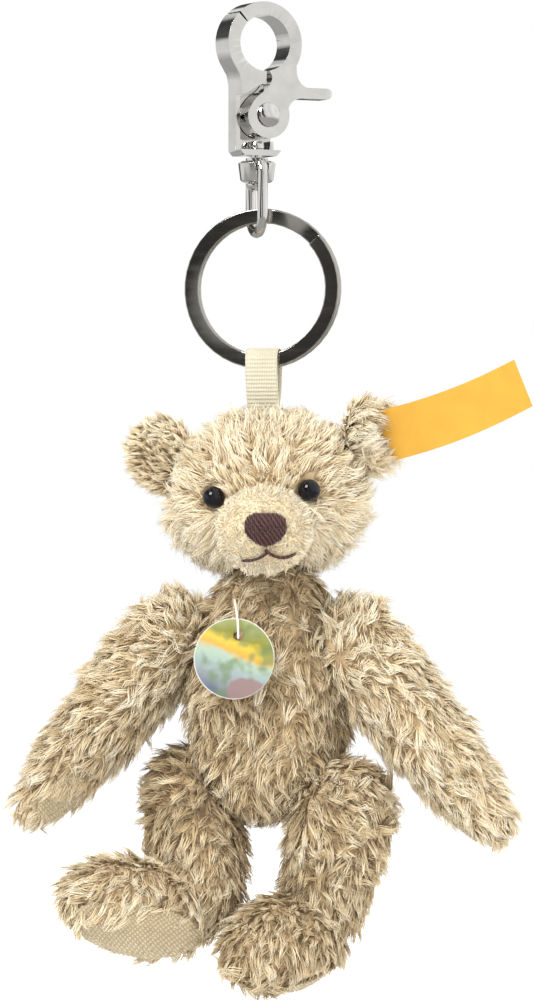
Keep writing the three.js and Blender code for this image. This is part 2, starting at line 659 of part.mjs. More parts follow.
const tagSolid = earTag(EAR_TAG.thick, earTagRoot, earTagTip);
const tagRoom = earTag(EAR_TAG.thick + 2 * GAP, earTagRoot.clone().add(vec(-1, 0.1, -0.4)), earTagTip, GAP);
addPart('ear_left', ear(EARS.left.at, EARS.left.normal, EARS.left.rise), 'plush');
addPart('ear_right', cut(ear(EARS.right.at, EARS.right.normal, EARS.right.rise), tagRoom), 'plush');
addPart('ear_tag', tagSolid, 'tape');

// Limbs, each with its cover, filling, pad and joint
const torsoJoints = [neck];
const torsoPlanes = [{ point: neck.point, inward: vec(0, 0, -1) }];

for (const [name, limb] of Object.entries(LIMBS)) {
  const isArm = limb.kind === 'shoulder';
  const form = (inset, sides) => (isArm ? armForm(limb, inset, sides) : legForm(limb, inset, sides));
  const at = joint(limb.centre, limb.axis, DISC[limb.kind], 1);
  stuffed(name, form, [{ point: limb.centre, inward: limb.axis }], [at]);
  torsoJoints.push({ ...at, reach: -1 });
  torsoPlanes.push({ point: limb.centre, inward: limb.axis.clone().negate() });
  const skin = cut(form(-0.9), form(-0.3));
  const zone = isArm
    ? ellipsoid(limb.top.clone().lerp(limb.end, 0.84).addScaledVector(limb.padSide.clone().normalize(), 5.6),
      4.6, 4.6, 6.4, 12, 8, new THREE.Quaternion().setFromUnitVectors(
        vec(0, 0, 1), limb.end.clone().sub(limb.top).normalize()))
    : beyond(limb.foot.clone().addScaledVector(limb.soleNormal, 4.6), limb.soleNormal.clone().negate(), 0);
  addPart(`${isArm ? name.replace('arm', 'paw_pad') : name.replace('leg', 'foot_pad')}`,
    skin.intersect(zone), 'shortPlush');
  discParts(`${limb.kind}_${name.split('_')[1]}`, at, 'torso', 'limb');
}

stuffed('torso', torsoForm, torsoPlanes, torsoJoints.map((j, i) => (i ? j : { ...j, reach: 1 })));
discParts('neck', joint(neck.point, vec(0, 0, -1), DISC.neck, 1), 'head', 'torso');

// Round tag on a thread at the chest
const tagGroup = new THREE.Group();
tagGroup.position.set(TAG.x, TAG.y, TAG.z);
tagGroup.rotation.set(radians(-6), radians(TAG.lean), radians(-8), 'ZYX');
parts.add(tagGroup);
const tagHole = rod(vec(0, -2, 4.7), vec(0, 1, 0), 4, TAG.hole, 14);
const roundTag = cut(rod(vec(0, -TAG.thick / 2, 0), vec(0, 1, 0), TAG.thick, TAG.radius, 32), tagHole);
addPart('round_tag', roundTag, 'print', tagGroup);

function tagThread() {
  const route = [
    vec(-4.7, -13.3, -110.8), vec(-4.5, -16.6, -112.2), vec(-4.1, -18.6, -115), vec(-4, -18.8, -117.4),
    vec(-4, -17.6, -118.6), vec(-4, -16.4, -117.2), vec(-4, -15.8, -114.6),
  ];
  return tube(new THREE.CatmullRomCurve3(route), 0.25, 6, 16);
}

addPart('tag_thread', tagThread(), 'whiteThread');

export default parts;
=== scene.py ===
import math

import bmesh
import bpy
import numpy as np
from mathutils import Matrix, Vector, kdtree, noise
from mathutils.bvhtree import BVHTree


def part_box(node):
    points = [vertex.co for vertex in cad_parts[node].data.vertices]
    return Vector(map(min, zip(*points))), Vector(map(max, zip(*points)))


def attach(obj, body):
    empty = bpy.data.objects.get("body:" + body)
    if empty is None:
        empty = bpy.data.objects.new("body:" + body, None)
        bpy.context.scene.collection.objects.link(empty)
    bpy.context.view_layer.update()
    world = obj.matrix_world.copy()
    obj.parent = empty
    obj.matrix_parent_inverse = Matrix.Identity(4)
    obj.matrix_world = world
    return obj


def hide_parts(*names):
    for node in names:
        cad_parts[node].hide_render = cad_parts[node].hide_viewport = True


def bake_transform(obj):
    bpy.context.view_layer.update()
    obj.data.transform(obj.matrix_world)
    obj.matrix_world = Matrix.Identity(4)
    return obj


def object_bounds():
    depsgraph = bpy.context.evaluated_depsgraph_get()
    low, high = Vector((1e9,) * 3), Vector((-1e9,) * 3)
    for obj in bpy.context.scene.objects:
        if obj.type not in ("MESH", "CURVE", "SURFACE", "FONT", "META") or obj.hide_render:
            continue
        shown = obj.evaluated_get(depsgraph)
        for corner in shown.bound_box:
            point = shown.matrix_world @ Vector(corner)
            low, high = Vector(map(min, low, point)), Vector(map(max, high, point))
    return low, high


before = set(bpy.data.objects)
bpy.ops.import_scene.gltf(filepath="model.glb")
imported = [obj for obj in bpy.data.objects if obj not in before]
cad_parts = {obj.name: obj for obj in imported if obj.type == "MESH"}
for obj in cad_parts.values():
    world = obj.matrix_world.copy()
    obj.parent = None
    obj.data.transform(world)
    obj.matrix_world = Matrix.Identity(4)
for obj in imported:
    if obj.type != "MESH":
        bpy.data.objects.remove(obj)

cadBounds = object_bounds()
mm = 0.001
scene = bpy.context.scene


def middle(*nodes):
    boxes = [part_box(n) for n in nodes]
    return sum((low + high for low, high in boxes), Vector()) / (2 * len(boxes))


def roomFor(node, grow=1.0):
    lowest, highest = (np.array(corner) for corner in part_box(node))
    return (lowest + highest) / 2, (highest - lowest) / 2 * grow


def camel(node):
    first, *others = node.split("_")
    return first + "".join(word.title() for word in others)


def alone(piece):
    bpy.ops.object.select_all(action="DESELECT")
    piece.select_set(True)
    bpy.context.view_layer.objects.active = piece


def addNode(tree, kind, inputs=None, **settings):
    made = tree.nodes.new(kind)
    for key, value in settings.items():
        setattr(made, key, value)
    for key, value in (inputs or {}).items():
        if isinstance(value, bpy.types.NodeSocket):
            tree.links.new(value, made.inputs[key])
        else:
            made.inputs[key].default_value = value
    return made


def addRamp(tree, factor, stops):
    made = addNode(tree, "ShaderNodeValToRGB", {0: factor})
    ends = made.color_ramp.elements
    while len(ends) < len(stops):
        ends.new(0.5)
    for stop, (at, colour) in zip(ends, stops):
        stop.position = at
        stop.color = (*colour, 1)
    return made


# camera, floor and lights
studio = {
    "eyeDistance": 1.0,
    "lens": 180,
    "aimAcross": -0.0018,
    "aimUp": -0.0009,
    "floorBelow": 0.055,
    "worldLight": 1.0,
    "keyLight": 11.0,
    "fillLight": 4.0,
    "rimLight": 5.0,
    "floorSize": 6,
    "floorGlow": 0.14,
}

low, high = cadBounds
centre = (low + high) / 2
aim = Vector((centre.x + studio["aimAcross"], 0, centre.z + studio["aimUp"]))
camera = bpy.data.objects.new("camera", bpy.data.cameras.new("camera"))
scene.collection.objects.link(camera)
camera.data.lens = studio["lens"]
camera.data.sensor_width = 36
camera.location = aim + Vector((0, -studio["eyeDistance"], 0))
camera.rotation_euler = (math.pi / 2, 0, 0)
scene.camera = camera
scene.view_settings.view_transform = "Standard"

bpy.ops.object.select_all(action="DESELECT")
bpy.ops.mesh.primitive_plane_add(size=studio["floorSize"], location=(0, 0, low.z - studio["floorBelow"]))
floor = bpy.context.object
floor.name = "floor"


def areaLight(name, power, size, place, glossy=False):
    light = bpy.data.objects.new(name, bpy.data.lights.new(name, "AREA"))
    scene.collection.objects.link(light)
    light.data.energy = power
    light.data.size = size
    light.location = aim + Vector(place)
    light.rotation_euler = (-Vector(place)).to_track_quat("-Z", "Y").to_euler()
    light.visible_glossy = glossy


areaLight("keyLight", studio["keyLight"], 0.5, (-0.55, -0.7, 0.75), True)
areaLight("fillLight", studio["fillLight"], 0.7, (0.8, -0.6, 0.15))
areaLight("rimLight", studio["rimLight"], 0.6, (0.3, 0.9, 0.6))

# the sky shows pale, and polished metal mirrors a studio with light and dark cards over a grey ground
mirrored = {
    "across": 0.42,
    "up": 0.16,
    "warmth": 0.985,
    "tones": ((0.0, 0.4), (0.08, 0.85), (0.17, 0.75), (0.2, 0.08), (0.34, 0.05), (0.4, 0.6), (0.47, 0.85),
              (0.5, 0.05), (0.56, 0.04), (0.62, 0.75), (0.76, 0.9), (0.82, 0.78), (0.93, 1.02), (1.0, 0.35)),
    "groundStarts": -0.12,
    "groundFull": -0.3,
    "ground": (0.42, 0.42, 0.41, 1),
}


def skyShader(sky, s):
    pale = sky.nodes["Background"]
    pale.inputs["Color"].default_value = (1, 1, 1, 1)
    pale.inputs["Strength"].default_value = studio["worldLight"]
    coords = addNode(sky, "ShaderNodeTexCoord")
    split = addNode(sky, "ShaderNodeSeparateXYZ", {0: coords.outputs["Generated"]})
    across, up = split.outputs["X"], split.outputs["Z"]
    lean = addNode(sky, "ShaderNodeMath", {0: up, 1: s["up"], 2: 0.5}, operation="MULTIPLY_ADD")
    tilt = addNode(sky, "ShaderNodeMath", {0: across, 1: s["across"], 2: lean.outputs[0]},
                   operation="MULTIPLY_ADD")
    bands = addRamp(sky, tilt.outputs[0], [(at, (tone, tone, tone * s["warmth"])) for at, tone in s["tones"]])
    bands.color_ramp.interpolation = "EASE"
    below = addNode(sky, "ShaderNodeMapRange", {
        "Value": up, "From Min": s["groundStarts"], "From Max": s["groundFull"]})
    ground = addNode(sky, "ShaderNodeMix", {0: below.outputs[0], 6: bands.outputs[0], 7: s["ground"]},
                     data_type="RGBA")
    cards = addNode(sky, "ShaderNodeBackground", {"Color": ground.outputs[2], "Strength": 1.0})
    rays = addNode(sky, "ShaderNodeLightPath")
    swap = addNode(sky, "ShaderNodeMixShader", {
        0: rays.outputs["Is Glossy Ray"], 1: pale.outputs[0], 2: cards.outputs[0]})
    sky.links.new(swap.outputs[0], sky.nodes["World Output"].inputs["Surface"])


world = bpy.data.worlds.new("studio")
world.use_nodes = True
scene.world = world
skyShader(world.node_tree, mirrored)
print("stage ready")


# materials
class Finish:
    def __init__(self, name, colour=(0.8, 0.8, 0.8), rough=0.5, metal=0.0, sockets=None):
        self.made = bpy.data.materials.new(name)
        self.made.use_nodes = True
        self.tree = self.made.node_tree
        self.shader = self.tree.nodes["Principled BSDF"]
        self.shader.inputs["Base Color"].default_value = (*colour, 1)
        self.shader.inputs["Roughness"].default_value = rough
        self.shader.inputs["Metallic"].default_value = metal
        for socket, value in (sockets or {}).items():
            self.shader.inputs[socket].default_value = value
        self.place = self.tree.nodes.new("ShaderNodeTexCoord").outputs["Object"]

    def node(self, kind, inputs=None, **settings):
        return addNode(self.tree, kind, inputs, **settings)

    def link(self, output, socket):
        self.tree.links.new(output, self.shader.inputs[socket])

    def noise(self, scale, detail=3.0, place=None, rough=0.55):
        return self.node("ShaderNodeTexNoise", {
            "Vector": place or self.place, "Scale": scale, "Detail": detail, "Roughness": rough}).outputs[0]

    def mapping(self, turn=(0, 0, 0), scale=(1, 1, 1)):
        return self.node("ShaderNodeMapping", {
            "Vector": self.place, "Rotation": turn, "Scale": scale}).outputs[0]

    def spread(self, value, low, high, start=0.0, end=1.0):
        return self.node("ShaderNodeMapRange", {
            "Value": value, "From Min": low, "From Max": high, "To Min": start, "To Max": end}).outputs[0]

    def ramp(self, factor, stops):
        return addRamp(self.tree, factor, stops).outputs[0]

    def mix(self, factor, a, b, blend="MIX"):
        made = self.node("ShaderNodeMix", data_type="RGBA", blend_type=blend)
        for index, value in ((0, factor), (6, a), (7, b)):
            if isinstance(value, bpy.types.NodeSocket):
                self.tree.links.new(value, made.inputs[index])
            elif index:
                made.inputs[index].default_value = (*value, 1)
            else:
                made.inputs[index].default_value = value
        return made.outputs[2]

    def math(self, operation, a, b):
        return self.node("ShaderNodeMath", {0: a, 1: b}, operation=operation).outputs[0]

    def reach(self, place):
        return self.node("ShaderNodeVectorMath", {0: place}, operation="LENGTH").outputs["Value"]

    def bump(self, height, strength, distance):
        made = self.node("ShaderNodeBump", {"Height": height, "Strength": strength, "Distance": distance})
        self.link(made.outputs[0], "Normal")


def metalFinish(name, colour, rough, tint):
    finish = Finish(name, colour, rough, 1.0)
    wear = finish.noise(220, 5)
    finish.link(finish.ramp(wear, [(0.35, colour), (0.72, tint)]), "Base Color")
    streaks = finish.noise(60, 4, finish.mapping(scale=(1, 1, 9)))
    finish.link(finish.spread(streaks, 0.35, 0.75, rough * 0.6, rough * 1.8), "Roughness")
    finish.bump(finish.noise(900, 2), 0.05, 0.00005)
    return finish.made


nickel = metalFinish("polishedNickel", (0.8, 0.79, 0.77), 0.07, (0.68, 0.67, 0.64))
ringNickel = metalFinish("ringNickel", (0.5, 0.48, 0.44), 0.1, (0.4, 0.38, 0.34))


def pileFinish(name, rough=0.62, golden=(0.86, 0.72, 0.5), strength=0.4):
    finish = Finish(name, rough=rough, sockets={
        "Sheen Weight": 0.25, "Sheen Roughness": 0.4, "Sheen Tint": (1, 0.93, 0.8, 1),
        "Specular IOR Level": 0.3})
    lock = finish.node("ShaderNodeAttribute", attribute_name="pile").outputs["Color"]
    patches = finish.spread(finish.noise(130, 2), 0.42, 0.7, 0.0, strength)
    warm = finish.mix(patches, lock, golden, "MULTIPLY")
    grain = finish.ramp(finish.noise(1500, 2), [(0.3, (0.94, 0.93, 0.9)), (0.7, (1, 1, 1))])
    finish.link(finish.mix(1.0, warm, grain, "MULTIPLY"), "Base Color")
    finish.bump(finish.noise(2600, 2), 0.2, 0.00005)
    return finish.made


def backingFinish(name, dark, light):
    finish = Finish(name, rough=0.95)
    finish.link(finish.ramp(finish.noise(420, 5), [(0.3, dark), (0.7, light)]), "Base Color")
    finish.bump(finish.noise(900, 4), 0.7, 0.0004)
    return finish.made


longPile = pileFinish("mohairPile")
shortPile = pileFinish("shortPile", 0.7, (0.93, 0.83, 0.64), 0.3)
backing = backingFinish("pileBacking", (0.3, 0.2, 0.1), (0.62, 0.47, 0.28))
shortBacking = backingFinish("shortBacking", (0.55, 0.42, 0.24), (0.84, 0.72, 0.5))


def wovenFinish(name, colour, shade, across, along, depth, turn=(0, 0, 0), rough=0.8):
    finish = Finish(name, rough=rough, sockets={"Sheen Weight": 0.15, "Sheen Roughness": 0.5})
    place = finish.mapping(turn=turn)
    warp, weft = (
        finish.node("ShaderNodeTexWave", {
            "Vector": place, "Scale": scale, "Distortion": 0.3, "Detail": 1.0, "Detail Scale": 2.0},
            bands_direction=direction).outputs["Fac"]
        for scale, direction in ((across, "X"), (along, "Z")))
    weave = finish.math("MULTIPLY", warp, weft)
    cloth = finish.ramp(weave, [(0.05, shade), (0.55, colour)])
    soil = finish.ramp(finish.noise(160, 3), [(0.3, (0.9, 0.88, 0.85)), (0.65, (1, 1, 1))])
    finish.link(finish.mix(1.0, cloth, soil, "MULTIPLY"), "Base Color")
    finish.bump(weave, 0.6, depth)
    return finish.made


ribbonCloth = wovenFinish("ribbonCloth", (0.66, 0.63, 0.51), (0.5, 0.46, 0.34), 900, 1500, 0.00008,
                          (0, 0, math.radians(15)))
tapeCloth = wovenFinish("tapeCloth", (0.64, 0.35, 0.035), (0.56, 0.29, 0.025), 1500, 1700, 0.00002,
                        (0, 0.38, 0))
padCloth = wovenFinish("padCloth", (0.57, 0.48, 0.33), (0.35, 0.27, 0.15), 480, 480, 0.00025, (0.3, 0.6, 0.2))


def threadFinish(name, colour, shade, scale=700):
    finish = Finish(name, rough=0.6, sockets={"Sheen Weight": 0.3, "Sheen Roughness": 0.35})
    strands = finish.node("ShaderNodeTexWave", {
        "Vector": finish.mapping(turn=(0, 0.6, 0)), "Scale": scale, "Distortion": 2.0, "Detail": 2.0},
        bands_direction="X").outputs["Fac"]
    finish.link(finish.ramp(strands, [(0.1, shade), (0.8, colour)]), "Base Color")
    finish.bump(strands, 0.5, 0.0001)
    return finish.made


noseThread = threadFinish("noseThread", (0.1, 0.033, 0.027), (0.022, 0.007, 0.007), 420)
whiteThread = threadFinish("whiteThread", (0.9, 0.88, 0.82), (0.6, 0.57, 0.5), 1600)


def beadFinish():
    finish = Finish("blackBead", (0.004, 0.004, 0.006), 0.04, sockets={
        "Coat Weight": 0.2, "Coat Roughness": 0.02, "Specular IOR Level": 0.3})
    haze = finish.ramp(finish.noise(300, 3), [(0.4, (0.003, 0.003, 0.005)), (0.8, (0.012, 0.013, 0.018))])
    finish.link(haze, "Base Color")
    return finish.made


def boardFinish():
    finish = Finish("hardboard", rough=0.85)
    fibres = finish.noise(700, 6)
    finish.link(finish.ramp(fibres, [(0.3, (0.26, 0.16, 0.07)), (0.7, (0.46, 0.31, 0.16))]), "Base Color")
    finish.bump(fibres, 0.4, 0.0002)
    return finish.made


# soft fields of colour, with a leafy patch and a mauve one, and a pale rim
printed = {
    "half": 0.0075,
    "fields": [(0.0, (0.1, 0.12, 0.16)), (0.2, (0.24, 0.27, 0.29)), (0.34, (0.26, 0.33, 0.31)),
               (0.5, (0.33, 0.42, 0.32)), (0.58, (0.52, 0.3, 0.04)), (0.7, (0.56, 0.4, 0.03)),
               (0.8, (0.2, 0.2, 0.02)), (1.0, (0.26, 0.28, 0.1))],
    "slope": 0.35,
    "drop": -0.002,
    "wobble": 0.004,
    "leaf": (0.12, 0.18, 0.07),
    "mauve": (0.24, 0.15, 0.14),
    "mauveAt": (0.0022, -0.0062),
    "mauveEdge": (0.0027, 0.0032),
    "rim": (0.6, 0.6, 0.56),
    "rimEdge": (0.0077, 0.0079),
}


def printFinish(centreOfTag, s):
    finish = Finish("tagPrint", rough=0.4, sockets={"Coat Weight": 0.2, "Coat Roughness": 0.15})
    shifted = finish.node("ShaderNodeVectorMath", {0: finish.place, 1: tuple(-centreOfTag)},
                          operation="ADD").outputs[0]
    parts = finish.node("ShaderNodeSeparateXYZ", {0: shifted})
    across, up = parts.outputs["X"], parts.outputs["Z"]
    wobble = finish.math("MULTIPLY", finish.noise(260, 3, shifted), s["wobble"])
    slope = finish.math("ADD", finish.math("MULTIPLY", across, s["slope"]), s["drop"])
    height = finish.math("ADD", finish.math("ADD", up, wobble), slope)
    fields = finish.ramp(finish.spread(height, -s["half"], s["half"]), s["fields"])
    leaves = finish.spread(finish.noise(210, 2, shifted), 0.5, 0.62, 0.0, 0.7)
    leafy = finish.mix(leaves, fields, s["leaf"])
    mauveAcross, mauveUp = s["mauveAt"]
    fromMauve = finish.node("ShaderNodeCombineXYZ", {
        0: finish.math("MULTIPLY", finish.math("SUBTRACT", across, mauveAcross), 0.62),
        2: finish.math("SUBTRACT", up, mauveUp)}).outputs[0]
    ragged = finish.math("ADD", finish.reach(fromMauve), finish.math("MULTIPLY", wobble, 0.3))
    art = finish.mix(finish.spread(ragged, *s["mauveEdge"], 0.9, 0.0), leafy, s["mauve"])
    flat = finish.node("ShaderNodeCombineXYZ", {0: across, 2: up}).outputs[0]
    rim = finish.spread(finish.reach(flat), *s["rimEdge"])
    finish.link(finish.mix(rim, art, s["rim"]), "Base Color")
    return finish.made


def floorFinish():
    finish = Finish("paleFloor", rough=0.9, sockets={
        "Emission Color": (1, 1, 1, 1), "Emission Strength": studio["floorGlow"], "Specular IOR Level": 0.1})
    mottle = finish.ramp(finish.noise(3, 2), [(0.3, (0.9, 0.9, 0.9)), (0.7, (0.93, 0.93, 0.93))])
    finish.link(mottle, "Base Color")
    return finish.made


bead = beadFinish()
board = boardFinish()
tagPrint = printFinish(middle("round_tag"), printed)
floor.data.materials.append(floorFinish())
floor.visible_glossy = False
print("finishes ready")


# making pieces
def useModifier(piece, kind, **settings):
    alone(piece)
    made = piece.modifiers.new(kind.lower(), kind)
    for key, value in settings.items():
        setattr(made, key, value)
    bpy.ops.object.modifier_apply(modifier=made.name)


def copyOf(name, *nodes):
    mesh = bpy.data.meshes.new(name)
    shape = bmesh.new()
    for node in nodes:
        shape.from_mesh(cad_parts[node].data)
    bmesh.ops.remove_doubles(shape, verts=shape.verts, dist=1e-6)
    shape.to_mesh(mesh)
    shape.free()
    piece = bpy.data.objects.new(name, mesh)
    scene.collection.objects.link(piece)
    return piece


def dress(piece, body, material, replaced=(), smooth=True):
    piece.data.materials.clear()
    piece.data.materials.append(material)
    if smooth:
        piece.data.shade_smooth()
    if body:
        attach(piece, body)
    if replaced:
        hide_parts(*replaced)
    return piece


def keepLargest(piece):
    shape = bmesh.new()
    shape.from_mesh(piece.data)
    left = set(shape.verts)
    groups = []
    while left:
        stack = [left.pop()]
        group = set(stack)
        while stack:
            for edge in stack.pop().link_edges:
                for vert in edge.verts:
                    if vert in left:
                        left.discard(vert)
                        group.add(vert)
                        stack.append(vert)
        groups.append(group)
    groups.sort(key=len)
    bmesh.ops.delete(shape, geom=[v for g in groups[:-1] for v in g], context="VERTS")
    shape.to_mesh(piece.data)
    shape.free()


def repaint(node, material):
    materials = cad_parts[node].data.materials
    materials.clear()
    materials.append(material)


def smoothEdges(piece, degrees):
    alone(piece)
    bpy.ops.object.shade_smooth_by_angle(angle=math.radians(degrees))


def lumps(piece, depth, scale):
    piece.data.update()
    for vert in piece.data.vertices:
        vert.co += vert.normal * depth * noise.noise(vert.co * scale)


# metal: the solids with rolled edges
metal = {"roll": 0.3 * mm, "flatWithin": 1.5, "smoothAngle": 38, "edgeAngle": 50}


def metalPiece(name, node, body, roll, material=nickel):
    piece = copyOf(name, node)
    useModifier(piece, "DECIMATE", decimate_type="DISSOLVE", angle_limit=math.radians(metal["flatWithin"]))
    useModifier(piece, "BEVEL", width=metal["roll"] * roll, segments=3, limit_method="ANGLE",
                angle_limit=math.radians(metal["edgeAngle"]))
    useModifier(piece, "TRIANGULATE")
    dress(piece, body, material, [node], smooth=False)
    smoothEdges(piece, metal["smoothAngle"])
    useModifier(piece, "WEIGHTED_NORMAL", keep_sharp=True, weight=80)


metalPiece("hookFrame", "hook_frame", "hook", 1.3)
metalPiece("triggerLever", "trigger_lever", "lever", 1.3)
metalPiece("pivotRivet", "pivot_rivet", "hook", 0.7)
metalPiece("swivelPost", "swivel_post", "swivel", 0.7)
metalPiece("swivelCollar", "swivel_collar", "swivel", 0.7)
metalPiece("swivelLink", "swivel_link", "swivel", 0.4)
metalPiece("splitRing", "split_ring", "ring", 0.9, ringNickel)
spring = copyOf("leverSpring", "lever_spring")
useModifier(spring, "SUBSURF", levels=1, render_levels=1)
dress(spring, "hook", nickel, ["lever_spring"])
print("metal ready")

# the joints hidden in the stuffing
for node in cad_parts:
    if node.endswith("_disc"):
        repaint(node, board)
    if node.endswith("_pin"):
        repaint(node, nickel)

# ribbed woven loop
ribbon = {
    "turn": -15,
    "width": 6.6,
    "thick": 0.45,
    "half": 2.15,
    "top": -60.8,
    "end": -75.1,
    "ribPitch": 0.8,
    "ribDepth": 0.07,
    "tail": 0.6,
    "columns": 13,
    "edgePinch": 0.5,
    "bendFrom": -66,
    "bendTo": -74,
}


def bezier(a, b, c, d, count):
    t = np.linspace(0, 1, count)[:, None]
    a, b, c, d = (np.array(p, float) for p in (a, b, c, d))
    return (1 - t) ** 3 * a + 3 * (1 - t) ** 2 * t * b + 3 * (1 - t) * t ** 2 * c + t ** 3 * d


def ribbonLine():
    s = ribbon
    half, springing = s["half"] - s["thick"] / 2, s["top"] - s["half"]
    tail = s["tail"] - s["thick"] / 2
    foot = s["end"]
    side = np.vstack([
        [[tail, foot], [tail, foot + 1], [tail, foot + 1.9]],
        bezier((tail, foot + 2), (tail, foot + 4.5), (half, springing - 6), (half, springing), 60)])
    angle = np.linspace(0, math.pi, 34)[1:-1]
    arc = np.column_stack([half * np.cos(angle), springing + half * np.sin(angle)])
    back = side[::-1] * [-1, 1]
    return np.vstack([side, arc, back])


def evenly(points, step):
    gaps = np.linalg.norm(np.diff(points, axis=0), axis=1)
    along = np.concatenate([[0], np.cumsum(gaps)])
    at = np.linspace(0, along[-1], int(along[-1] / step) + 1)
    return np.column_stack([np.interp(at, along, points[:, i]) for i in range(points.shape[1])]), at


def meshPiece(name, verts, faces, colours=None):
    mesh = bpy.data.meshes.new(name)
    verts = np.asarray(verts, np.float32)
    faces = np.asarray(faces, np.int32)
    mesh.vertices.add(len(verts))
    mesh.vertices.foreach_set("co", verts.ravel())
    mesh.loops.add(faces.size)
    mesh.loops.foreach_set("vertex_index", faces.ravel())
    mesh.polygons.add(len(faces))
    mesh.polygons.foreach_set("loop_start", np.arange(0, faces.size, faces.shape[1], dtype=np.int32))
    mesh.polygons.foreach_set("use_smooth", np.ones(len(faces), bool))
    mesh.update(calc_edges=True)
    if colours is not None:
        layer = mesh.color_attributes.new("pile", "FLOAT_COLOR", "POINT")
        opaque = np.column_stack([colours, np.ones(len(colours))])
        layer.data.foreach_set("color", opaque.astype(np.float32).ravel())
    piece = bpy.data.objects.new(name, mesh)
    scene.collection.objects.link(piece)
    return piece


def bandMesh(line, ribs, width, thick, columns, toWorld):
    tangent = np.gradient(line, axis=0)
    tangent /= np.linalg.norm(tangent, axis=1)[:, None]
    out = np.column_stack([tangent[:, 1], -tangent[:, 0]])
    across = np.linspace(-width / 2, width / 2, columns)
    verts, faces = [], []
    for face in (1, -1):
        for i, point in enumerate(line):
            edge = point + out[i] * face * (thick / 2 + ribs[i])
            for u in across:
                pinch = ribbon["edgePinch"] if abs(u) > width / 2 - 0.01 else 1
                spot = point + (edge - point) * pinch
                verts.append(toWorld(u, spot[0], spot[1]))
    rows = len(line)
    second = rows * columns
    for i in range(rows - 1):
        for k in range(columns - 1):
            a, d = i * columns + k, (i + 1) * columns + k
            b, c = a + 1, d + 1
            faces.append((a, b, c, d))
            faces.append((second + a, second + d, second + c, second + b))
        for k, flip in ((0, False), (columns - 1, True)):
            a, d = i * columns + k, (i + 1) * columns + k
            ring = (a, d, second + d, second + a)
            faces.append(ring[::-1] if flip else ring)
    for i, flip in ((0, True), (rows - 1, False)):
        for k in range(columns - 1):
            a, b = i * columns + k, i * columns + k + 1
            ring = (a, b, second + b, second + a)
            faces.append(ring[::-1] if flip else ring)
    return verts, faces


def outwards(piece):
    alone(piece)
    bpy.ops.object.mode_set(mode="EDIT")
    bpy.ops.mesh.select_all(action="SELECT")
    bpy.ops.mesh.remove_doubles(threshold=1e-7)
    bpy.ops.mesh.normals_make_consistent(inside=False)
    bpy.ops.object.mode_set(mode="OBJECT")


turned = Matrix.Rotation(math.radians(ribbon["turn"]), 3, "Z")
loopMiddle = middle("ribbon_loop")
line, lengths = evenly(ribbonLine(), ribbon["ribPitch"] / 8)
ribs = ribbon["ribDepth"] * np.cos(2 * math.pi * lengths / ribbon["ribPitch"])


def atLoop(u, v, w):
    return turned @ Vector((u * mm, v * mm, 0)) + Vector((loopMiddle.x, loopMiddle.y, w * mm))


bodyThick = ribbon["thick"] - 0.1
verts, faces = bandMesh(line, ribs, ribbon["width"], bodyThick, ribbon["columns"], atLoop)
loop = meshPiece("ribbonLoop", verts, faces)
outwards(loop)
dress(loop, None, ribbonCloth, ["ribbon_loop"])
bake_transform(loop)
repaint("ribbon_tab", ribbonCloth)
print("ribbon ready")

# stuffed skins
skins = {
    "head": {"voxel": 0.9, "lump": 0.5, "fill": 0.85},
    "torso": {"voxel": 0.9, "lump": 0.7, "fill": 0.7},
    "arm_left": {"voxel": 0.85, "lump": 0.6, "fill": 0.7},
    "arm_right": {"voxel": 0.85, "lump": 0.6, "fill": 0.7},
    "leg_left": {"voxel": 0.85, "lump": 0.5, "fill": 0.75},
    "leg_right": {"voxel": 0.85, "lump": 0.5, "fill": 0.75},
}
lumpScale = 260


def softCopy(name, nodes, voxel, smoothing):
    piece = copyOf(name, *nodes)
    useModifier(piece, "REMESH", mode="VOXEL", voxel_size=voxel * mm, adaptivity=0)
    if len(nodes) > 1:
        keepLargest(piece)
    useModifier(piece, "SMOOTH", factor=0.5, iterations=smoothing)
    return piece


def stuffedSkin(body, s):
    nodes = [body + "_cover", body + "_stuffing"]
    skin = softCopy(camel(body) + "Skin", nodes, s["voxel"], 5)
    lumps(skin, s["lump"] * mm, lumpScale)
    dress(skin, body, backing, nodes)
    return skin


made = {body: stuffedSkin(body, s) for body, s in skins.items()}
muzzle = softCopy("muzzle", ["muzzle_cover"], 0.45, 4)
dress(muzzle, "head", shortBacking, ["muzzle_cover"])
ears = {}
for node in ("ear_left", "ear_right"):
    ears[node] = dress(softCopy(camel(node), [node], 0.4, 4), "head", backing, [node])
padsOf = {"arm_left": "paw_pad_left", "arm_right": "paw_pad_right",
          "leg_left": "foot_pad_left", "leg_right": "foot_pad_right"}
pads = {}
for body, node in padsOf.items():
    pads[body] = dress(softCopy(camel(node), [node], 0.28, 3), body, padCloth, [node])
print("skins ready")


# pile: strands in locks, each strand a thin three-sided tube
def unit(v):
    return v / (np.linalg.norm(v, axis=-1, keepdims=True) + 1e-12)


def meshArray(items, field, width, kind):
    found = np.zeros(len(items) * width, kind)
    items.foreach_get(field, found)
    return found.reshape(-1, width)


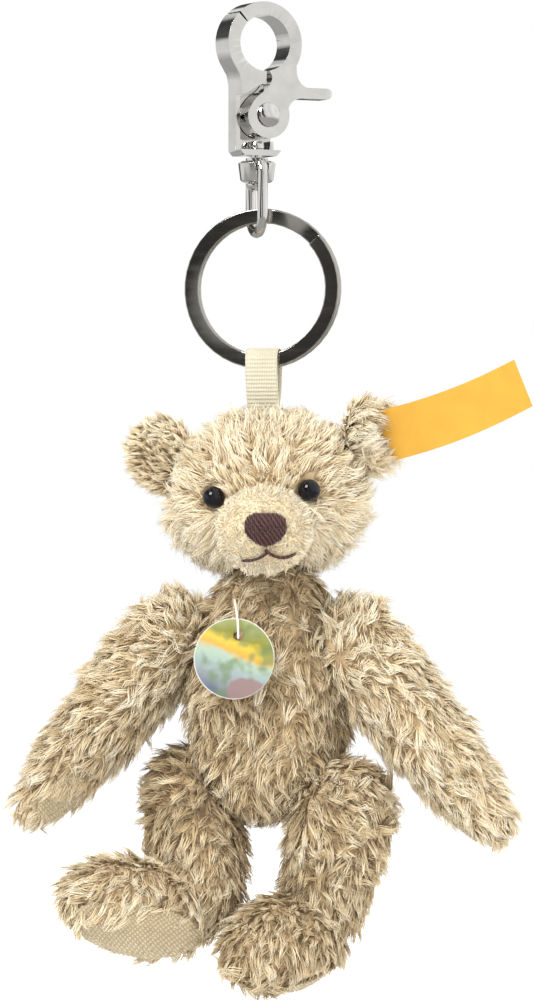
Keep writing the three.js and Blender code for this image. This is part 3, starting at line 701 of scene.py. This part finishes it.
def surfacePoints(skin, count, rng, keep):
    mesh = skin.data
    mesh.calc_loop_triangles()
    tris = meshArray(mesh.loop_triangles, "vertices", 3, np.int32)
    co = meshArray(mesh.vertices, "co", 3, np.float32).astype(float)
    normals = meshArray(mesh.vertices, "normal", 3, np.float32).astype(float)
    corners = co[tris]
    cross = np.cross(corners[:, 1] - corners[:, 0], corners[:, 2] - corners[:, 0])
    area = np.linalg.norm(cross, axis=1) / 2
    facing = cross / (2 * area[:, None] + 1e-18)
    area = area * keep(corners.mean(1), facing)
    picked = rng.choice(len(tris), count, p=area / area.sum())
    u, v = rng.random(count), rng.random(count)
    over = u + v > 1
    u[over], v[over] = 1 - u[over], 1 - v[over]
    weights = np.column_stack([1 - u - v, u, v])[:, :, None]
    points = (corners[picked] * weights).sum(1)
    return points, unit((normals[tris[picked]] * weights).sum(1))


def nearestLock(roots, locks):
    tree = kdtree.KDTree(locks)
    for i in range(locks):
        tree.insert(roots[i], i)
    tree.balance()
    return np.array([tree.find(p)[1] for p in roots])


def strandMesh(rows, normals, width, shades, s):
    steps = s["steps"]
    taper = np.interp(steps, *s["taper"])
    heading = unit(rows[1] - rows[0])
    right = unit(np.cross(heading, normals) + 1e-9)
    up = unit(np.cross(right, heading))
    verts, tones = [], []
    for r, t in enumerate(steps[:-1]):
        for k in range(3):
            angle = 2 * math.pi * k / 3 + math.pi / 6
            around = right * math.cos(angle) + up * math.sin(angle)
            verts.append(rows[r] + around * (width * taper[r])[:, None])
            tones.append(np.clip(shades - s["rootShade"] * (1 - t) ** 1.5, 0, 1))
    verts.append(rows[-1])
    tones.append(np.clip(shades + s["tipLight"], 0, 1))
    rings = len(steps) - 1
    size = rings * 3 + 1
    faces = [(0, 2, 1)]
    for r in range(rings - 1):
        for k in range(3):
            a, b = r * 3 + k, r * 3 + (k + 1) % 3
            faces += [(a, b, b + 3), (a, b + 3, a + 3)]
    faces += [((rings - 1) * 3 + k, (rings - 1) * 3 + (k + 1) % 3, size - 1) for k in range(3)]
    firsts = np.arange(rows.shape[1]) * size
    faces = (np.array(faces)[None] + firsts[:, None, None]).reshape(-1, 3)
    tones = np.stack(tones, 1).reshape(-1)
    ramp = np.array(s["colours"])
    at = np.linspace(0, 1, len(ramp))
    colours = np.column_stack([np.interp(tones, at, ramp[:, i]) for i in range(3)])
    return np.stack(verts, 1).reshape(-1, 3), faces, colours


def pile(name, skin, body, s, keep, flow, material=longPile):
    rng = np.random.default_rng(s["seed"])
    count = s["count"] // 1
    widen = 1.0
    roots, normals = surfacePoints(skin, count, rng, keep)
    locks = max(20, count // s["perLock"])
    lock = nearestLock(roots, locks)
    lockRoots, lockNormal = roots[:locks], normals[:locks]
    swirl = np.array([noise.noise_vector(Vector(p) * s["swirlScale"]) for p in lockRoots])
    stray = rng.normal(0, s["stray"], (locks, 3))
    combed = unit(flow(lockRoots, lockNormal)) + swirl * s["swirl"] + stray
    along = unit(combed - lockNormal * (combed * lockNormal).sum(1)[:, None])
    side = np.cross(lockNormal, along)
    lockLength = rng.uniform(*s["length"], locks) * mm
    lockLift = rng.uniform(*s["lift"], locks)[lock]
    phase = rng.uniform(0, 2 * math.pi, locks)[lock]
    curl = rng.normal(0, s["curl"], locks)[lock] * mm
    tone = rng.normal(0, 1, locks)[lock]
    length = lockLength[lock] * rng.uniform(0.75, 1.1, count)
    jitter = rng.normal(0, 0.1, (count, 3))
    rows = []
    for t in s["steps"]:
        lift = lockLift * (1 - s["droop"] * t) * math.pi / 2
        rise = (length * np.sin(lift) * t)[:, None]
        lay = (length * np.cos(lift) * t)[:, None]
        wave = np.sin(phase + t * s["waves"] * 2 * math.pi) - np.sin(phase)
        lean = along[lock] * lay + side[lock] * (curl * wave * t)[:, None]
        own = roots + normals * rise + lean + jitter * (length * t)[:, None]
        spine = roots[lock] + lockNormal[lock] * rise + lean
        pull = s["clump"] * t ** 1.3
        rows.append(own * (1 - pull) + spine * pull)
    rows = np.array(rows)
    rows[0] -= normals * s["rooted"] * mm
    width = s["width"] * mm * widen * rng.uniform(0.75, 1.25, count)
    shades = s["tone"] + s["lockTone"] * tone + rng.normal(0, 0.07, count)
    # painted light and shade: each spot darkens the pile's colour round a point, or lightens it where the
    # amount is below zero
    for spot, reach, darker in s["spots"]:
        shades -= darker * np.exp(-(np.linalg.norm(roots - spot, axis=1) / (reach * mm)) ** 2)
    free = np.ones(count, bool)
    for spot, reach in s["avoid"]:
        free &= (np.linalg.norm((rows - spot) / reach, axis=2) > 1).all(0)
    verts, faces, colours = strandMesh(
        rows[:, free], normals[free], width[free], np.clip(shades, 0, 1)[free], s)
    dress(meshPiece(name, verts, faces, colours), body, material)


coat = {
    "count": 9900,
    "perLock": 9,
    "length": (3.6, 5.6),
    "lift": (0.2, 0.58),
    "droop": 0.35,
    "rooted": 0.15,
    "width": 0.1,
    "taper": ([0, 0.6, 1], [1, 0.85, 0.15]),
    "curl": 0.65,
    "waves": 0.9,
    "swirl": 0.9,
    "swirlScale": 170,
    "stray": 0.25,
    "clump": 0.72,
    "tone": 0.6,
    "lockTone": 0.16,
    "rootShade": 0.5,
    "tipLight": 0.12,
    "steps": [0, 0.33, 0.68, 1.0],
    "colours": [(0.25, 0.165, 0.08), (0.52, 0.39, 0.22), (0.77, 0.63, 0.41), (0.91, 0.81, 0.6),
                (0.98, 0.93, 0.79)],
    "avoid": (),
    "spots": (),
}
under = {"steps": [0, 0.5, 1.0], "lift": (0.5, 0.9), "curl": 0.3}


def everywhere(centres, facing):
    return np.ones(len(centres))


def nodePoint(node):
    return np.array(middle(node))


def outside(node, grow):
    mid, half = roomFor(node, grow)
    return lambda centres, facing: (np.linalg.norm((centres - mid) / half, axis=1) > 1).astype(float)


def outwardFrom(start):
    return lambda points, normals: points - start


def towards(*direction):
    return lambda points, normals: np.tile(direction, (len(points), 1))


headMiddle = nodePoint("head_cover")
muzzleMiddle = nodePoint("muzzle_cover")
clearOfFace = [outside("muzzle_cover", 0.84), outside("eye_left", 1.15), outside("eye_right", 1.15)]


def keepHead(centres, facing):
    return math.prod(clear(centres, facing) for clear in clearOfFace)


def headFlow(points, normals):
    away = points - (muzzleMiddle + np.array([0, 0.002, 0.002]))
    away[:, 1] *= 0.6
    return away


faceRoom = [roomFor("eye_left", 1.3), roomFor("eye_right", 1.3), roomFor("nose_stitching", 1.05)]
headCoat = {**coat, "tone": 0.86, "lockTone": 0.1, "rootShade": 0.36, "length": (3.4, 5.4), "swirl": 0.5,
            "stray": 0.2, "avoid": faceRoom}
pile("headPile", made["head"], "head", {**headCoat, "seed": 11}, keepHead, headFlow)
pile("headUnderPile", made["head"], "head", {
    **headCoat, **under, "seed": 12, "count": 8500, "tone": 0.72, "length": (2.0, 2.8)}, keepHead, headFlow)


def keepCheeks(centres, facing):
    low = np.clip((headMiddle[2] - 0.001 - centres[:, 2]) / 0.005, 0, 1)
    side = np.clip((np.abs(centres[:, 0] - headMiddle[0]) - 0.004) / 0.004, 0, 1)
    front = np.clip((headMiddle[1] + 0.009 - centres[:, 1]) / 0.004, 0, 1)
    return low * side * front * keepHead(centres, facing)


def cheekFlow(points, normals):
    return unit(headFlow(points, normals)) + np.array([0, -0.25, -0.75])


pile("cheekPile", made["head"], "head", {
    **headCoat, "seed": 13, "count": 6500, "length": (5.2, 7.6), "lift": (0.3, 0.62), "tone": 0.84},
    keepCheeks, cheekFlow)

pile("torsoPile", made["torso"], "torso", {**coat, "seed": 21, "tone": 0.6, "swirl": 1.1}, everywhere,
     towards(0.0, 0.0, -1.0))
pile("torsoUnderPile", made["torso"], "torso", {
    **coat, **under, "seed": 22, "count": 7500, "tone": 0.45, "length": (1.8, 2.6)}, everywhere,
    towards(0.0, 0.0, -1.0))

# padDarker paints shade into the pile round the limb's pad, or paints light there where it is less than zero;
# the left leg's low tone is painted shade, lit again by painted light towards its foot
limbs = {
    "arm_left": {"seed": 31, "tone": 0.78, "padDarker": 0.1, "padGrow": 0.8, "joint": "shoulder_left"},
    "arm_right": {"seed": 41, "tone": 0.84, "padDarker": 0.0, "padGrow": 0.8, "joint": "shoulder_right"},
    "leg_left": {"seed": 51, "tone": 0.3, "padDarker": -0.58, "padGrow": 0.95, "joint": "hip_left"},
    "leg_right": {"seed": 61, "tone": 0.6, "padDarker": 0.0, "padGrow": 0.95, "joint": "hip_right"},
}
for body, s in limbs.items():
    limbCoat = {**coat, "tone": s["tone"], "spots": [(middle(padsOf[body]), 24, s["padDarker"])]}
    clearOfPad = outside(padsOf[body], s["padGrow"])
    downLimb = outwardFrom(nodePoint(s["joint"] + "_limb_disc"))
    pile(camel(body) + "Pile", made[body], body, {**limbCoat, "seed": s["seed"]}, clearOfPad, downLimb)
    pile(camel(body) + "UnderPile", made[body], body, {
        **limbCoat, **under, "seed": s["seed"] + 1, "count": 5000, "tone": s["tone"] - 0.16,
        "length": (1.6, 2.4)}, clearOfPad, downLimb)

earCoat = {**coat, "count": 5200, "steps": [0, 0.5, 1.0], "tone": 0.78, "length": (2.0, 3.4),
           "lift": (0.35, 0.8), "curl": 0.5, "swirl": 1.0}
for node, seed in (("ear_left", 71), ("ear_right", 81)):
    mid, half = roomFor(node)
    # painted shade: the pile darkens round the ear's hollow, where shade falls
    shadedHollow = mid + half * [0, -0.8, -0.2]
    pile(camel(node) + "Pile", ears[node], "head", {**earCoat, "seed": seed, "spots": [(shadedHollow, 3.6, 0.5)]},
         everywhere, outwardFrom(headMiddle))

# a tuft of the ear's pile lies over the root of the tape
tapeLow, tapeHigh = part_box("ear_tag")
tapeRoot = np.array([tapeLow.x - 0.002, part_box("ear_right")[0].y, middle("ear_tag").z - 0.0045])


def keepTuft(centres, facing):
    near = np.linalg.norm((centres - tapeRoot) * [1, 0.4, 0.75], axis=1) < 0.006
    return (near & (facing[:, 1] < -0.25)).astype(float)


pile("earTuft", ears["ear_right"], "head", {
    **headCoat, "seed": 91, "count": 2600, "length": (4.5, 7.5), "lift": (0.2, 0.45), "curl": 0.6,
    "swirl": 0.5, "avoid": ()}, keepTuft, towards(1.0, -0.5, 0.2))

# the muzzle's border, then the short nap of the muzzle and pads
nap = {
    **coat, "count": 15500, "perLock": 3, "length": (0.7, 1.15), "lift": (0.55, 1.0), "width": 0.075,
    "curl": 0.1, "swirl": 1.3, "swirlScale": 700, "stray": 0.6, "clump": 0.35, "tone": 0.84, "lockTone": 0.13,
    "rootShade": 0.55, "steps": [0, 1.0],
    "colours": [(0.36, 0.26, 0.13), (0.66, 0.53, 0.32), (0.86, 0.75, 0.52), (0.94, 0.87, 0.67),
                (0.98, 0.94, 0.8)],
}
padNap = {**nap, "length": (0.4, 0.75), "tone": 0.6, "width": 0.06}
clearOfNose = outside("nose_stitching", 0.85)


def keepMuzzle(centres, facing):
    outer = ((centres - muzzleMiddle) * facing).sum(1) > 0
    return clearOfNose(centres, facing) * outer


def keepBorder(centres, facing):
    return (facing[:, 1] > -0.62).astype(float)


def borderFlow(points, normals):
    return (points - muzzleMiddle) * [1, 0, 1] + [0, 0.004, 0]


pile("muzzleRimPile", muzzle, "head", {
    **headCoat, "seed": 97, "count": 3200, "steps": [0, 0.5, 1.0], "length": (1.6, 3.0), "lift": (0.25, 0.6),
    "curl": 0.3, "width": 0.11}, keepBorder, borderFlow)
pile("muzzleNap", muzzle, "head", {**nap, "seed": 95}, keepMuzzle, outwardFrom(muzzleMiddle), shortPile)
for seed, (body, node) in enumerate(padsOf.items(), 101):
    pile(camel(node).replace("Pad", "Nap"), pads[body], body, {
        **padNap, "seed": seed, "count": 6000 if body.startswith("leg") else 3000}, everywhere,
        outwardFrom(nodePoint(node)), shortPile)
print("pile ready")

# eyes
for node, name in (("eye_left", "eyeBeadLeft"), ("eye_right", "eyeBeadRight")):
    lowest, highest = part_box(node)
    bpy.ops.object.select_all(action="DESELECT")
    bpy.ops.mesh.primitive_uv_sphere_add(segments=48, ring_count=32, radius=(highest.x - lowest.x) / 2,
                                         location=(lowest + highest) / 2)
    eye = bpy.context.object
    eye.name = name
    bpy.ops.object.transform_apply(location=True, rotation=True, scale=True)
    dress(eye, "head", bead, [node])

# nose and mouth in satin stitch
nose = {
    "threadWidth": 0.4,
    "plump": 0.56,
    "spacing": 0.35,
    "shake": 0.03,
    "tuck": (0.4, 0.25),
    "squareness": 3.0,
    "grow": (1.02, 1.5, 0.96),
    "chin": 0.42,
}
noseMiddle, noseHalf = roomFor("nose_stitching")
bpy.ops.mesh.primitive_uv_sphere_add(segments=64, ring_count=40, radius=1)
nosePad = bpy.context.object
nosePad.name = "nosePad"
for vert in nosePad.data.vertices:
    away = vert.co / sum(abs(c) ** nose["squareness"] for c in vert.co) ** (1 / nose["squareness"])
    away.x *= 1 - nose["chin"] * max(0.0, 0.2 - away.z) ** 2
    vert.co = noseMiddle + noseHalf * nose["grow"] * away
dress(nosePad, "head", noseThread, ["nose_stitching"])


def stitchTube(points, radius, sides=7):
    points = np.array(points)
    heading = unit(np.gradient(points, axis=0))
    out = unit(np.cross(heading, [0.0, 0.0, 1.0]) + 1e-9)
    up = np.cross(out, heading)
    verts, faces = [], []
    for i, p in enumerate(points):
        thin = radius * (1 if 0 < i < len(points) - 1 else 0.35)
        for k in range(sides):
            angle = 2 * math.pi * k / sides
            verts.append(p + out[i] * math.cos(angle) * thin + up[i] * math.sin(angle) * thin)
    for i in range(len(points) - 1):
        for k in range(sides):
            a, b = i * sides + k, i * sides + (k + 1) % sides
            faces.append((a, b, b + sides, a + sides))
    return verts, faces


def stitchLine(tree, x, lowest, highest, rng):
    hits = []
    z = highest.z
    while z > lowest.z:
        hit = tree.ray_cast(Vector((x, lowest.y - 0.01, z)), Vector((0, 1, 0)))[0]
        if hit:
            hits.append(hit + Vector((rng.normal(0, nose["shake"]), rng.normal(0, nose["shake"]), 0)) * mm)
        z -= nose["spacing"] * mm
    return hits


def noseStitches():
    shape = bmesh.new()
    shape.from_mesh(nosePad.data)
    tree = BVHTree.FromBMesh(shape)
    shape.free()
    rng = np.random.default_rng(7)
    lowest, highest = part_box("nose_stitching")
    back, beyond = (d * mm for d in nose["tuck"])
    stitches = bmesh.new()
    pitch = nose["threadWidth"] * mm
    x = lowest.x + pitch / 2
    while x < highest.x:
        hits = stitchLine(tree, x, lowest, highest, rng)
        if len(hits) > 3:
            ends = [hits[0] + Vector((0, back, beyond)), *hits, hits[-1] + Vector((0, back, -beyond))]
            verts, faces = stitchTube(ends, pitch * nose["plump"])
            placed = [stitches.verts.new(v) for v in verts]
            for face in faces:
                stitches.faces.new([placed[i] for i in face])
        x += pitch
    bmesh.ops.holes_fill(stitches, edges=stitches.edges, sides=0)
    mesh = bpy.data.meshes.new("noseStitches")
    stitches.to_mesh(mesh)
    stitches.free()
    piece = bpy.data.objects.new("noseStitches", mesh)
    scene.collection.objects.link(piece)
    outwards(piece)
    return piece


dress(noseStitches(), "head", noseThread)
mouth = copyOf("mouthThread", "mouth_stitching")
useModifier(mouth, "SUBSURF", levels=2, render_levels=2)
dress(mouth, "head", noseThread, ["mouth_stitching"])

# ear tape: it sags a little, and its root is drawn back into the ear's edge
tapeShape = {"sag": Vector((0, -0.9, -0.7)) * mm, "rootBack": Vector((-1.2, 3.0, -0.3)) * mm}
tape = copyOf("earTape", "ear_tag")
useModifier(tape, "SUBSURF", levels=3, render_levels=3, subdivision_type="SIMPLE")
for vert in tape.data.vertices:
    t = min(1.0, max(0.0, (vert.co.x - tapeLow.x) / (tapeHigh.x - tapeLow.x)))
    vert.co += tapeShape["sag"] * math.sin(math.pi * t) + tapeShape["rootBack"] * (1 - t) ** 3
dress(tape, "head", tapeCloth, ["ear_tag"])
smoothEdges(tape, 40)

# round tag and its thread
disc = copyOf("roundTag", "round_tag")
useModifier(disc, "DECIMATE", decimate_type="DISSOLVE", angle_limit=math.radians(1.5))
useModifier(disc, "BEVEL", width=0.2 * mm, segments=3, limit_method="ANGLE", angle_limit=math.radians(40))
dress(disc, "tag", tagPrint, ["round_tag"], smooth=False)
smoothEdges(disc, 40)
string = copyOf("tagThread", "tag_thread")
useModifier(string, "SUBSURF", levels=2, render_levels=2)
dress(string, "tag", whiteThread, ["tag_thread"])
print("face and tags ready")
